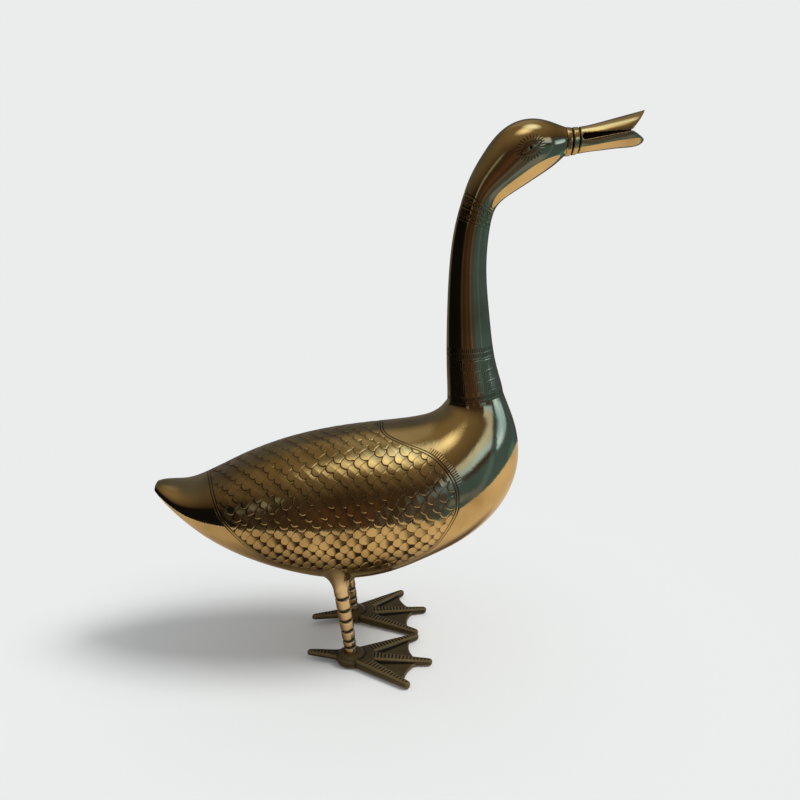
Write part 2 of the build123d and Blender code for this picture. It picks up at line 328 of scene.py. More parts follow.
class Skin:
    """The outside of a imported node, sampled by rays and rounded between its facets."""

    def __init__(self, node):
        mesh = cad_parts[node].data
        mesh.calc_loop_triangles()
        self.points = np.array([v.co for v in mesh.vertices]) / MM
        self.normals = np.array([n.vector for n in mesh.vertex_normals])
        self.triangles = np.array([t.vertices for t in mesh.loop_triangles])
        self.tree = BVHTree.FromPolygons([Vector(p) for p in self.points], self.triangles.tolist())

    def sample(self, centres, directions):
        """The outermost surface point from each centre along its direction, and whether there is one."""
        found, faces = centres.copy(), np.full(len(centres), -1)
        starts = centres + directions * SAMPLE_REACH
        for i, (start, direction) in enumerate(zip(starts, directions)):
            place, _, face, _ = self.tree.ray_cast(Vector(start), Vector(-direction), SAMPLE_REACH)
            if place is not None:
                found[i], faces[i] = place, face
        hit = faces >= 0
        corners = self.triangles[faces[hit]]
        p = found[hit]
        a, b, c = (self.points[corners[:, k]] for k in range(3))
        area = np.linalg.norm(np.cross(b - a, c - a), axis=1)
        rounded = np.zeros_like(p)
        for k, (f, g) in enumerate(((b, c), (c, a), (a, b))):
            share = np.linalg.norm(np.cross(f - p, g - p), axis=1) / area
            normal = self.normals[corners[:, k]]
            off = ((p - self.points[corners[:, k]]) * normal).sum(1)
            rounded += share[:, None] * (p - off[:, None] * normal)
        found[hit] = (1 - ROUNDED_SHARE) * p + ROUNDED_SHARE * rounded
        return found, hit


def sample_half(node, guide, rows, columns):
    """A grid on the right half of a shell: rows along the guide, columns from upper to lower mid line."""
    pairs = curve_through([(*upper, *lower) for upper, lower in guide], rows)
    upper = np.stack([pairs[:, 0], np.zeros(rows), pairs[:, 1]], axis=1)
    lower = np.stack([pairs[:, 2], np.zeros(rows), pairs[:, 3]], axis=1)
    middle = (upper + lower) / 2
    rise = upper - lower
    rise /= np.linalg.norm(rise, axis=1)[:, None]
    turn = np.linspace(0, pi, columns)[None, :, None]
    right = np.array([0, -1.0, 0])
    directions = np.cos(turn) * rise[:, None] + np.sin(turn) * right
    centres = np.broadcast_to(middle[:, None] + CENTRE_SHIFT * right, directions.shape)
    found, hit = Skin(node).sample(centres.reshape(-1, 3).copy(), directions.reshape(-1, 3))
    grid = found.reshape(rows, columns, 3)
    grid[:, [0, -1], 1] = 0.0
    return grid, hit.reshape(rows, columns)


def mend(grid, bad):
    """Fills the marked grid points from their neighbours along each column."""
    index = np.arange(len(grid))
    for column in np.where(bad.any(axis=0))[0]:
        holes = bad[:, column]
        for k in range(3):
            grid[holes, column, k] = np.interp(index[holes], index[~holes], grid[~holes, column, k])


def widen(grid):
    """The half grid with one mirrored column added past each mid line."""
    return np.concatenate([grid[:, 1:2] * MIRROR, grid, grid[:, -2:-1] * MIRROR], axis=1)


def smooth(grid, passes):
    """Evens out a half grid; its end rows stay."""
    for _ in range(passes):
        wide = widen(grid)
        grid = 0.25 * wide[:, :-2] + 0.5 * wide[:, 1:-1] + 0.25 * wide[:, 2:]
        grid[1:-1] = 0.25 * grid[:-2] + 0.5 * grid[1:-1] + 0.25 * grid[2:]
    return grid


def grid_normals(grid):
    """Outward normals of a half grid."""
    wide = widen(grid)
    along = np.gradient(grid, axis=0)
    normals = np.cross(wide[:, 2:] - wide[:, :-2], along)
    return normals / np.maximum(np.linalg.norm(normals, axis=2), 1e-9)[:, :, None]


def lengths_around(grid):
    """Distance of each grid point from the upper mid line, measured round the surface."""
    steps = np.linalg.norm(np.diff(grid, axis=1), axis=2)
    return np.concatenate([np.zeros((len(grid), 1)), np.cumsum(steps, axis=1)], axis=1)


def lengths_along(grid):
    """Distance of each row from the first, measured along the middle line, for every grid point."""
    middle = (grid[:, 0] + grid[:, -1]) / 2
    steps = np.linalg.norm(np.diff(middle, axis=0), axis=1)
    return np.broadcast_to(np.concatenate([[0], np.cumsum(steps)])[:, None], grid.shape[:2])


def row_middle(row):
    """The middle of a row's upper and lower ends."""
    return (row[0] + row[-1]) / 2


def round_tail(grid):
    """Replaces the first rows by a rounded end that closes on the tail's tip."""
    base, tip = grid[TAIL_ROUND_ROWS], row_middle(grid[0])
    middle = row_middle(base)
    turns = np.linspace(TAIL_FIRST, pi / 2, TAIL_STEPS)[:-1]
    rows = [middle + (tip - middle) * cos(t) + (base - middle) * sin(t) for t in turns]
    return np.concatenate([np.array(rows), grid[TAIL_ROUND_ROWS:]])


def lip(row):
    """Rows that turn a shell's open end inwards."""
    return np.array([row_middle(row) + (row - row_middle(row)) * step for step in LIP_STEPS])


def skirt(grid):
    """Rows that run on below a shell's foot, a little inside it, so that the seam is a shallow groove."""
    row, middle = grid[0], row_middle(grid[0])
    inward = middle - row
    sunk = row + SKIRT_INSET * inward / np.linalg.norm(inward, axis=1)[:, None]
    down = middle - row_middle(grid[1])
    return np.array([sunk + SKIRT_DROP * down / np.linalg.norm(down), sunk])


def polyline_distance(points, line):
    """Distance to a polyline and the length along it of the nearest place."""
    best = np.full(len(points), 1e9)
    place = np.zeros(len(points))
    start = 0.0
    for a, b in zip(line[:-1], line[1:]):
        step = b - a
        length = np.linalg.norm(step)
        share = np.clip((points - a) @ step / length**2, 0, 1)
        gap = np.linalg.norm(points - a - share[:, None] * step, axis=1)
        nearer = gap < best
        best[nearer] = gap[nearer]
        place[nearer] = start + share[nearer] * length
        start += length
    return best, place


def inside_outline(x, y, outline):
    """Whether points lie inside a closed outline in a plane."""
    inside = np.zeros(len(x), bool)
    for (ax, ay), (bx, by) in zip(outline, np.roll(outline, -1, axis=0)):
        if ay == by:
            continue
        crosses = (ay > y) != (by > y)
        inside ^= crosses & (x < ax + (y - ay) / (by - ay) * (bx - ax))
    return inside


def hill(value, width):
    """A smooth hill of height one at zero."""
    return np.exp(-((value / width) ** 2))


def between(value, low, high, soft):
    """One between the limits, falling softly to zero outside."""
    return np.clip((value - low) / soft + 0.5, 0, 1) * np.clip((high - value) / soft + 0.5, 0, 1)


def feathers(rearward, around):
    """Overlapping feathers: the distance behind the nearest edge of a feather further ahead, the
    distance inside the edge of the feather that a point lies on, and how near it is to that feather's
    hidden root."""
    wobble = FEATHER_JITTER * rng.uniform(-1, 1, (FEATHER_TABLE, FEATHER_TABLE, 3))
    slant = radians(FEATHER_SLANT)
    row = np.floor(around / FEATHER_ROW).astype(int)
    outlines = []
    for dj in range(-3, 3):
        j = row + dj
        shift = 0.5 * (j % 2)
        column = np.floor(rearward / FEATHER_PITCH - shift).astype(int)
        for di in range(-2, 3):
            i = column + di
            jitter = wobble[i % FEATHER_TABLE, j % FEATHER_TABLE]
            a = (i + shift + 0.5) * FEATHER_PITCH + jitter[:, 0]
            b = (j + 0.5) * FEATHER_ROW + jitter[:, 1]
            turn = np.radians(np.interp(b, *FEATHER_TURNS))
            ahead = (rearward - a) * np.cos(turn) + (around - b) * np.sin(turn)
            aside = (around - b) * np.cos(turn) - (rearward - a) * np.sin(turn)
            along, across = np.maximum(ahead, 0) / FEATHER_LENGTH, aside / FEATHER_HALF_WIDTH
            reach = np.hypot(along, across)
            slope = np.hypot(along / FEATHER_LENGTH, across / FEATHER_HALF_WIDTH)
            outside = (reach - 1) * reach / np.maximum(slope, 1e-6)
            outlines.append((outside, a * cos(slant) + b * sin(slant), ahead + SPOT_JITTER * jitter[:, 2]))
    top, own, place = np.full(len(row), 1e9), np.full(len(row), FAR), np.zeros(len(row))
    for outside, order, ahead in outlines:
        on_top = (outside <= 0) & (order < top)
        top, own = np.where(on_top, order, top), np.where(on_top, -outside, own)
        place = np.where(on_top, ahead, place)
    behind = np.full(len(row), FAR)
    for outside, order, _ in outlines:
        behind = np.where((outside > 0) & (order < top), np.minimum(behind, outside), behind)
    return behind, own, np.clip((SPOT_START - place) / SPOT_LENGTH, 0, 1)


def waves(points, height, length):
    """Slow unevenness of hand-finished metal, the same on both sides."""
    total = np.zeros(points.shape[:-1])
    for _ in range(WAVE_COUNT):
        direction = rng.normal(size=3)
        direction *= 2 * pi / (length * rng.uniform(*WAVE_SPREAD) * np.linalg.norm(direction))
        total += np.sin(points @ direction + rng.uniform(0, 2 * pi))
    return height * total / WAVE_COUNT**0.5


def make_mesh(name, points, faces, attributes=None, normals=None):
    """A smooth-shaded mesh object from points in millimetres, with named point attributes."""
    mesh = bpy.data.meshes.new(name)
    faces = faces.tolist() if isinstance(faces, np.ndarray) else faces
    mesh.from_pydata((np.asarray(points) * MM).tolist(), [], faces)
    mesh.shade_smooth()
    for key, values in (attributes or {}).items():
        layer = mesh.attributes.new(key, "FLOAT", "POINT")
        layer.data.foreach_set("value", np.asarray(values, np.float32).ravel())
    if normals is not None:
        mesh.normals_split_custom_set_from_vertices(normals.reshape(-1, 3).tolist())
    piece = bpy.data.objects.new(name, mesh)
    bpy.context.scene.collection.objects.link(piece)
    return piece


def dress(piece, node, material):
    """Gives a piece its material and lets it stand for a CAD node."""
    piece.data.materials.append(material)
    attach(piece, "root")
    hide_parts(node)


def grid_faces(rows, columns):
    """The quads of a grid, facing outwards on the right half."""
    index = np.arange(rows * columns).reshape(rows, columns)
    corners = [index[:-1, :-1], index[:-1, 1:], index[1:, 1:], index[1:, :-1]]
    return np.stack(corners, axis=-1).reshape(-1, 4)


def ring_faces(index):
    """The quads between closed rings of point numbers, one row of the array to a ring."""
    ahead = np.roll(index, -1, axis=1)
    return np.stack([index[:-1], ahead[:-1], ahead[1:], index[1:]], axis=-1)


def box_middle(node):
    """The middle of a CAD node's box, in millimetres."""
    return sum(np.array(corner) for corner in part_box(node)) / 2 / MM


def place_halves(part, material, grid, attributes, rims):
    """Makes the right half of a shell from its grid and the left half as its mirror image. Each rim is a
    row that turns inwards and the row beside it, whose normals it takes to keep its shading flat."""
    grid[:, [0, -1], 1] = 0.0
    normals = grid_normals(grid)
    for rim, beside in rims:
        normals[rim] = normals[beside]
    faces = grid_faces(*grid.shape[:2])
    right = make_mesh(f"{part}_right", grid.reshape(-1, 3), faces, attributes, normals)
    dress(right, f"{part}_right_shell", material)
    mirrored = (grid * MIRROR).reshape(-1, 3)
    left = make_mesh(f"{part}_left", mirrored, faces[:, ::-1], attributes, normals * MIRROR)
    dress(left, f"{part}_left_shell", material)


def carve(grid, sunk, cut):
    """Lowers the grid by its recesses and cut lines."""
    depth = FEATHER_DEPTH * sunk + LINE_DEPTH * cut
    return grid - depth[:, :, None] * grid_normals(grid)


def build_body(material):
    """Body shells with the engraved feather patch on each side."""
    grid, hit = sample_half("body_right_shell", BODY_GUIDE, BODY_ROWS, BODY_COLUMNS)
    stud = box_middle("right_leg_stud")
    near_stud = np.linalg.norm((grid - stud)[:, :, :2], axis=2) < STUD_CLEARANCE
    mend(grid, ~hit | (near_stud & (grid[:, :, 2] < PATCH_AXIS_Z)))
    grid = round_tail(smooth(grid, SMOOTHING_PASSES))
    settled = np.clip(np.arange(len(grid))[::-1] / SETTLE_ROWS, 0, 1)[:, None]
    grid = grid + (waves(grid, *BODY_WAVES) * settled)[:, :, None] * grid_normals(grid)
    marks = body_engraving(grid)
    grid = carve(grid, marks["recess"], marks["line"])
    last = len(grid) - 1
    end = lip(grid[-1])
    grid = np.concatenate([grid, end])
    attributes = {key: np.concatenate([values, np.full(end.shape[:2], values[-1])])
                  for key, values in marks.items()}
    place_halves("body", material, grid, attributes, [(last, last - 1)])


def laid_on_body(line):
    """The points of a line on the right side, moved out from the patch's axis to the surface."""
    centres = np.full_like(line, PATCH_AXIS_Z)
    centres[:, 0] = line[:, 0]
    centres[:, 1] = -MID_PLANE_GAP
    directions = line - centres
    directions[:, 1] = np.minimum(directions[:, 1], 0)
    directions /= np.linalg.norm(directions, axis=1)[:, None]
    found, _ = Skin("body_right_shell").sample(centres, directions)
    found[[0, -1], 1] = 0.0
    return found


def body_engraving(grid):
    """Engraving of the body at each grid point: the dip at a feather's root, the darkening of the cuts
    with painted shade in the root dips, cut lines, how dark the feather lines are (with painted shade
    towards the low flank), and the distance to the nearest feather edge, without its side and with."""
    points = grid.reshape(-1, 3)
    outline = laid_on_body(curve_through(PATCH_OUTLINE, PATCH_POINTS))
    angle = np.arctan2(-points[:, 1], points[:, 2] - PATCH_AXIS_Z)
    outline_angle = np.arctan2(-outline[:, 1], outline[:, 2] - PATCH_AXIS_Z)
    loop = np.stack([outline[:, 0], outline_angle], axis=1)
    closing = [(outline[end, 0], PATCH_CLOSING_ANGLE) for end in (-1, 0)]
    loop = np.vstack([loop, closing])
    inside = inside_outline(points[:, 0], angle, loop)
    gap, place = polyline_distance(points, outline)
    depth_in = np.where(inside, gap, -gap)
    drift = [waves(points, *FEATHER_DRIFT) for _ in range(2)]
    around = lengths_around(grid).ravel()
    behind, own, root = feathers(FEATHER_ORIGIN - points[:, 0] + drift[0], around + drift[1])
    feathered = np.clip((depth_in - PATCH_LINE_GAP - PATCH_MARGIN) / PATCH_SOFT, 0, 1)
    sunk = root * feathered
    nearest = np.where(feathered > 0, np.minimum(behind, own), FAR)
    side = np.where(behind < own, nearest, -nearest)
    low = np.clip((LOW_TOP - points[:, 2]) / LOW_REACH, 0, 1)
    # How dark the feather lines are: dark cuts, with painted shade added towards the low flank
    line_darkness = np.clip(np.interp(low, (0, 1), LINE_DARKNESS) * (1 + waves(points, *LINE_DARKNESS_WAVES)), 0, 1)
    cut = np.zeros(len(points))
    for offset in (0.0, PATCH_LINE_GAP):
        cut = np.maximum(cut, hill(depth_in - offset, PATCH_LINE_WIDTH))
    _, ends = polyline_distance(np.array(FRINGE_ENDS), outline)
    stroke = hill(place % FRINGE_PITCH - FRINGE_PITCH / 2, STROKE_HALF_WIDTH)
    fringe = between(place, ends.min(), ends.max(), FRINGE_SOFT[0])
    fringe = fringe * between(-depth_in, FRINGE_START, FRINGE_LENGTH, FRINGE_SOFT[1])
    cut = np.maximum(cut, FRINGE_STRENGTH * stroke * fringe)
    edge = hill(nearest, FEATHER_LINE) * feathered
    line = np.maximum(cut, edge * np.interp(low, (0, 1), LINE_SHARE))
    # Painted shade in the dip at each feather's root, stronger towards the low flank
    painted_root_shade = np.clip(SPOT_GAIN * sunk - SPOT_LOSS, 0, 1)
    cut = np.maximum(cut, painted_root_shade * np.interp(low, (0, 1), ROOT_PAINTED_SHADE))
    marks = {"recess": sunk, "cut": cut, "line": line, "line_darkness": line_darkness, "edge_gap": nearest, "edge_side": side}
    return {key: values.reshape(grid.shape[:2]) for key, values in marks.items()}


def build_neck(material):
    """Neck and head shells with their engraved bands and eyes."""
    grid, hit = sample_half("neck_right_shell", NECK_GUIDE, NECK_ROWS, NECK_COLUMNS)
    mend(grid, ~hit)
    grid = smooth(grid, SMOOTHING_PASSES)
    settled = np.clip(np.arange(len(grid)) / SETTLE_ROWS, 0, 1)[:, None]
    grid = grid + (waves(grid, *NECK_WAVES) * settled)[:, :, None] * grid_normals(grid)
    cut = np.maximum(neck_engraving(grid), eye_engraving(grid))
    grid = carve(grid, 0 * cut, cut)
    foot, front = skirt(grid), lip(grid[-1])
    first, last = len(foot), len(foot) + len(grid) - 1
    grid = np.concatenate([foot, grid, front])
    # The foot below the seam gets painted shade, standing for the shade in the seam's groove
    cut = np.concatenate([np.full(foot.shape[:2], SKIRT_PAINTED_SHADE), cut, np.zeros(front.shape[:2])])
    rims = [(row, first + 1) for row in range(first + 1)] + [(last, last - 1)]
    attributes = {"recess": 0 * cut, "cut": cut}
    place_halves("neck", material, grid, attributes, rims)


def neck_engraving(grid):
    """Rows of ticks and a line above the seam, and a band of small scrolls below the head."""
    along, around = lengths_along(grid), lengths_around(grid)
    cut = NECK_LINE_STRENGTH * hill(along - NECK_LINE, NECK_LINE_WIDTH)
    for row, (low, high, strength) in enumerate(TICK_ROWS):
        phase = (around / TICK_PITCH + 0.5 * (row % 2)) % 1 - 0.5
        stroke = hill(phase * TICK_PITCH, STROKE_HALF_WIDTH)
        cut = np.maximum(cut, strength * stroke * between(along, low, high, TICK_SOFT))
    for row, height in enumerate(SCROLL_HEIGHTS):
        across = ((around / SCROLL_PITCH + 0.5 * row) % 1 - 0.5) * SCROLL_PITCH
        radius = np.hypot(across, along - height)
        turn = np.arctan2(along - height, across) / (2 * pi)
        spiral = SCROLL_RADIUS * (SCROLL_START + (1 - SCROLL_START) * ((turn + 0.25) % 1))
        cut = np.maximum(cut, hill(radius - spiral, STROKE_HALF_WIDTH))
    for height in SCROLL_LINES:
        cut = np.maximum(cut, SCROLL_LINE_STRENGTH * hill(along - height, STROKE_HALF_WIDTH))
    return cut


def eye_engraving(grid):
    """An almond eye with a pupil and a ring of lashes on the side of the head."""
    tilt = radians(EYE_TILT)
    x, z = grid[:, :, 0] - EYE_PLACE[0], grid[:, :, 2] - EYE_PLACE[1]
    u, v = x * cos(tilt) + z * sin(tilt), z * cos(tilt) - x * sin(tilt)
    ring = np.hypot(u / EYE_HALF_LENGTH, v / EYE_HALF_HEIGHT)
    turn = np.arctan2(v / EYE_HALF_HEIGHT, u / EYE_HALF_LENGTH) / (2 * pi) * LASH_COUNT
    off = (turn % 1 - 0.5) * 2 * pi * np.hypot(u, v) / LASH_COUNT
    cut = hill(off, STROKE_HALF_WIDTH) * between(ring, LASH_START, 1.0, LASH_SOFT)
    for height in LID_HEIGHTS:
        lid = height * np.clip(1 - (u / LID_HALF_LENGTH) ** 2, 0, 1)
        cut = np.maximum(cut, hill(np.abs(v) - lid, STROKE_HALF_WIDTH) * (np.abs(u) < LID_HALF_LENGTH))
    return np.maximum(cut, hill(np.clip(np.hypot(u, v) - PUPIL_RADIUS, 0, None), STROKE_HALF_WIDTH))


def evaluated(piece):
    """Points in millimetres, faces and normals of an object with its modifiers."""
    graph = bpy.context.evaluated_depsgraph_get()
    mesh = piece.evaluated_get(graph).to_mesh()
    points = np.array([v.co for v in mesh.vertices]) / MM
    normals = np.array([n.vector for n in mesh.vertex_normals])
    return points, [tuple(p.vertices) for p in mesh.polygons], normals


def fine_copy(node, rounding):
    """A fine copy of a CAD node: points, faces, and how hollow or edge-like each point is. Rounding passes
    soften its edges and leave its hollows."""
    piece = bpy.data.objects.new("fine_copy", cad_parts[node].data.copy())
    bpy.context.scene.collection.objects.link(piece)
    weld = piece.modifiers.new("weld", "WELD")
    weld.merge_threshold = WELD_GAP * MM
    remesh = piece.modifiers.new("remesh", "REMESH")
    remesh.mode = "VOXEL"
    remesh.voxel_size = FINE_VOXEL * MM
    ease = piece.modifiers.new("ease", "SMOOTH")
    ease.factor = 0.5
    ease.iterations = FIRST_PASSES
    points, faces, normals = evaluated(piece)
    ease.iterations = EASE_PASSES
    eased, _, _ = evaluated(piece)
    lift = ((eased - points) * normals).sum(1)
    if rounding:
        ease.iterations = rounding
        eased, _, normals = evaluated(piece)
        points = eased - np.maximum(((eased - points) * normals).sum(1), 0)[:, None] * normals
    bpy.data.objects.remove(piece)
    return points, faces, np.clip(lift / FULL_HOLLOW, 0, 1), np.clip(-lift / FULL_EDGE, 0, 1)


def build_foot(side, material):
    """A foot, as a fine copy of its CAD node with rounded edges."""
    node = f"{side}_foot"
    points, faces, hollow, edge = fine_copy(node, ROUNDING_PASSES)
    points[:, 2] = np.interp(points[:, 2], *WEB_LIFT)
    piece = make_mesh(f"{node}_cast", points, faces, {"recess": hollow, "cut": hollow**2, "edge": edge})
    dress(piece, node, material)


def build_bill(material):
    """The bill, as a fine copy of its CAD node, with a dark plug inside, painted shade that shows in its
    slots.
    """
    points, faces, hollow, _ = fine_copy("bill", 0)
    rear, front = (np.array(end) for end in BILL_SHADE_CORE)
    turn = np.linspace(0, 2 * pi, SHADE_CORE_SIDES, endpoint=False)
    rings = []
    for share, size in SHADE_CORE_RINGS:
        x, z, half_width, half_height = rear + share * (front - rear)
        rings += [(x, size * half_width * cos(t), z + size * half_height * sin(t)) for t in turn]
    index = len(points) + np.arange(len(rings)).reshape(-1, len(turn))
    faces = faces + [tuple(face) for face in ring_faces(index).reshape(-1, 4).tolist()]
    faces += [tuple(index[0, ::-1].tolist()), tuple(index[-1].tolist())]
    # The plug is painted fully dark, as the shade inside the hollow bill
    core_shade = np.ones(len(rings))
    darkening = {"recess": np.append(hollow, core_shade), "cut": np.append(hollow**2, core_shade)}
    piece = make_mesh("bill_cast", np.vstack([points, rings]), faces, darkening)
    dress(piece, "bill", material)


def build_leg(side, material):
    """A leg: its rod as the CAD node has it, ring grooves, and a hollow fillet that runs out into the
    belly."""
    node = f"{side}_leg"
    rod, belly = Skin(node), Skin(f"body_{side}_shell")
    hip = box_middle(f"{node}_stud")
    lean = radians(LEG_LEAN)
    up = np.array([-sin(lean), 0.0, cos(lean)])
    turn = np.linspace(0, 2 * pi, LEG_COLUMNS, endpoint=False)
    level = np.array([cos(lean), 0.0, sin(lean)])
    out = np.cos(turn)[:, None] * level + np.sin(turn)[:, None] * np.array([0, 1.0, 0])

    def belly_height(radius):
        """How far above the hip the belly lies, along the leg, at a radius from its axis."""
        starts = hip + out * np.reshape(radius, (-1, 1)) - BELLY_RAY_START * up
        reached = [belly.tree.ray_cast(Vector(start), Vector(up))[3] for start in starts]
        return np.array(reached) - BELLY_RAY_START

    low = (LEG_START - hip[2]) / up[2]
    high = belly_height(np.full(LEG_COLUMNS, LEG_TOP_RADIUS)) - FILLET_HEIGHT
    share = np.linspace(0, 1, LEG_ROWS)[:, None]
    heights = low + (high - low) * share
    centres = hip + heights[:, :, None] * up
    directions = np.broadcast_to(out, centres.shape)
    found, _ = rod.sample(centres.reshape(-1, 3), directions.reshape(-1, 3))
    radius = np.linalg.norm(found.reshape(centres.shape) - centres, axis=2)
    reach = int(RING_REACH / (high - low).mean() * LEG_ROWS)
    padded = np.pad(radius, ((reach, reach), (0, 0)), "edge")
    full = np.max([padded[k:k + LEG_ROWS] for k in range(2 * reach + 1)], axis=0)
    above = heights - (LEG_ANKLE - hip[2]) / up[2]
    ring = np.max([hill(above - height, RING_HALF_WIDTH) for height in LEG_RINGS], axis=0)
    radius = full - RING_DEPTH * ring
    rows = [centres + radius[:, :, None] * directions]
    for bend in np.linspace(0, pi / 2, FILLET_ROWS)[1:]:
        spread = radius[-1] + FILLET_WIDTH * (1 - cos(bend))
        sink = FILLET_SINK if bend == pi / 2 else 0.0
        height = belly_height(spread) - FILLET_HEIGHT * (1 - sin(bend)) + sink
        rows.append((hip + height[:, None] * up + spread[:, None] * out)[None])
    points = np.concatenate(rows)
    ring = np.concatenate([ring, np.zeros((FILLET_ROWS - 1, LEG_COLUMNS))])
    faces = ring_faces(np.arange(ring.size).reshape(ring.shape)).reshape(-1, 4)
    piece = make_mesh(f"{node}_cast", points.reshape(-1, 3), faces, {"recess": ring, "cut": 0 * ring})
    dress(piece, node, material)


def node_material(name):
    """A new material with its nodes, links and Principled shader."""
    material = bpy.data.materials.new(name)
    material.use_nodes = True
    tree = material.node_tree
    return material, tree.nodes, tree.links, tree.nodes["Principled BSDF"]


def noise(nodes, links, scale, detail, stretch=(1, 1, 1)):
    """A noise texture in the object's own space."""
    place = nodes.new("ShaderNodeTexCoord")
    mapping = nodes.new("ShaderNodeMapping")
    mapping.inputs["Scale"].default_value = stretch
    links.new(place.outputs["Object"], mapping.inputs["Vector"])
    texture = nodes.new("ShaderNodeTexNoise")
    texture.inputs["Scale"].default_value = scale
    texture.inputs["Detail"].default_value = detail
    links.new(mapping.outputs["Vector"], texture.inputs["Vector"])
    return texture.outputs["Fac"]


def attribute(nodes, name):
    """A point attribute as a value."""
    node = nodes.new("ShaderNodeAttribute")
    node.attribute_name = name
    return node.outputs["Fac"]


def scaled_sum(nodes, links, value, factor, other):
    """The value times a factor, plus another, kept between zero and one."""
    node = nodes.new("ShaderNodeMath")
    node.operation = "MULTIPLY_ADD"
    node.use_clamp = True
    node.inputs[1].default_value = factor
    links.new(value, node.inputs[0])
    links.new(other, node.inputs[2])
    return node.outputs[0]


def ramp(nodes, links, value, low, high, low_colour, high_colour):
    """A colour that runs from one to another between two values."""
    node = nodes.new("ShaderNodeValToRGB")
    for element, place, colour in zip(node.color_ramp.elements, (low, high), (low_colour, high_colour)):
        element.position = place
        element.color = (*colour, 1)
    links.new(value, node.inputs["Fac"])
    return node.outputs["Color"]


def blend(nodes, links, share, under, over):
    """A fixed colour laid over another by a share."""
    node = nodes.new("ShaderNodeMix")
    node.data_type = "RGBA"
    links.new(share, node.inputs["Factor"])
    links.new(under, node.inputs["A"])
    node.inputs["B"].default_value = (*over, 1)
    return node.outputs["Result"]


def remap(nodes, links, value, low, high, to_low, to_high, kind="LINEAR"):
    """The value's range mapped to another range."""
    node = nodes.new("ShaderNodeMapRange")
    node.interpolation_type = kind
    node.inputs["From Min"].default_value = low
    node.inputs["From Max"].default_value = high
    node.inputs["To Min"].default_value = to_low
    node.inputs["To Max"].default_value = to_high
    links.new(value, node.inputs["Value"])
    return node.outputs["Result"]


def scratches(nodes, links, shader, strength):
    """Fine polishing marks as a slight bump."""
    node = nodes.new("ShaderNodeBump")
    node.inputs["Strength"].default_value = strength
    node.inputs["Distance"].default_value = MARK_DEPTH * MM
    links.new(noise(nodes, links, MARK_SCALE, MARK_DETAIL, MARK_STRETCH), node.inputs["Height"])
    links.new(node.outputs["Normal"], shader.inputs["Normal"])


def combine(nodes, links, operation, value, other):
    """The result of an operation on two values."""
    node = nodes.new("ShaderNodeMath")
    node.operation = operation
    links.new(value, node.inputs[0])
    links.new(other, node.inputs[1])
    return node.outputs[0]


def feather_lines(nodes, links):
    """Thin lines where the side of the nearest feather edge changes, close to that edge."""
    side, gap = attribute(nodes, "edge_side"), attribute(nodes, "edge_gap")
    behind = remap(nodes, links, side, *EDGE_BEHIND, 1.0, 0.0)
    before = remap(nodes, links, side, *EDGE_BEFORE, 0.0, 1.0)
    near = remap(nodes, links, gap, *EDGE_NEAR, 1.0, 0.0)
    within = combine(nodes, links, "MULTIPLY", behind, before)
    return combine(nodes, links, "MULTIPLY", within, near)


def brass(name, roughness, recess_darkening, marks, tarnish=TARNISH, clean=BRASS, feathered=False):
    """Polished aged brass: clouded by tarnish, dark in the cuts, darkened in its recesses and finely
    marked; at the feather roots, the neck's seam and the plug inside the bill the darkening is painted
    shade.
    """
    material, nodes, links, shader = node_material(name)
    shader.inputs["Metallic"].default_value = 1.0
    cloud = noise(nodes, links, *BRASS_CLOUD)
    colour = ramp(nodes, links, cloud, *BRASS_RANGE, tarnish, clean)
    # Darkening: the dark of the cuts plus the recesses by a share; at feather roots, the neck's seam and
    # the bill's plug it is painted shade
    darkening = scaled_sum(nodes, links, attribute(nodes, "recess"), recess_darkening, attribute(nodes, "cut"))
    if feathered:
        lines = feather_lines(nodes, links)
        darkened_lines = combine(nodes, links, "MULTIPLY", lines, attribute(nodes, "line_darkness"))
        darkening = scaled_sum(nodes, links, darkened_lines, 1.0, darkening)
    colour = blend(nodes, links, darkening, colour, CUTS_AND_SHADE_DARK)
    links.new(colour, shader.inputs["Base Color"])
    dull, bright = (roughness * share for share in ROUGH_SHARES)
    rough = remap(nodes, links, cloud, *ROUGH_RANGE, dull, bright)
    rough = scaled_sum(nodes, links, darkening, DARKENED_ROUGHNESS, rough)
    links.new(rough, shader.inputs["Roughness"])
    scratches(nodes, links, shader, marks)
    return material


def patina(name):
    """Cast brass under a dark olive-brown patina, rubbed bright on the edges."""
    material, nodes, links, shader = node_material(name)
    shader.inputs["Metallic"].default_value = PATINA_METALLIC
    cloud = noise(nodes, links, *PATINA_CLOUD)
    shade = tuple(PATINA_SHADE * channel for channel in PATINA)
    colour = ramp(nodes, links, cloud, *PATINA_RANGE, shade, PATINA)
    wear = remap(nodes, links, attribute(nodes, "edge"), *PATINA_WEAR)
    colour = blend(nodes, links, wear, colour, RUBBED)
    darkening = scaled_sum(nodes, links, attribute(nodes, "recess"), PATINA_SOIL, attribute(nodes, "cut"))
    colour = blend(nodes, links, darkening, colour, PATINA_DARK)
    links.new(colour, shader.inputs["Base Color"])
    rough = remap(nodes, links, cloud, *PATINA_RANGE, *PATINA_ROUGHNESS)
    links.new(rough, shader.inputs["Roughness"])
    scratches(nodes, links, shader, PATINA_MARKS)
    return material


def build_camera():
    """The photograph's camera."""
    camera = bpy.data.objects.new("camera", bpy.data.cameras.new("camera"))
    bpy.context.scene.collection.objects.link(camera)
    camera.data.sensor_width = CAMERA_SENSOR
    camera.data.lens = CAMERA_LENS
    camera.data.clip_start = CAMERA_NEAR * MM
    camera.location = Vector(CAMERA_PLACE) * MM
    yaw = Matrix.Rotation(radians(CAMERA_YAW), 4, "Z")
    pitch = Matrix.Rotation(radians(90 + CAMERA_PITCH), 4, "X")
    camera.rotation_euler = (yaw @ pitch).to_euler()
    bpy.context.scene.camera = camera
    bpy.context.scene.view_settings.view_transform = "Standard"


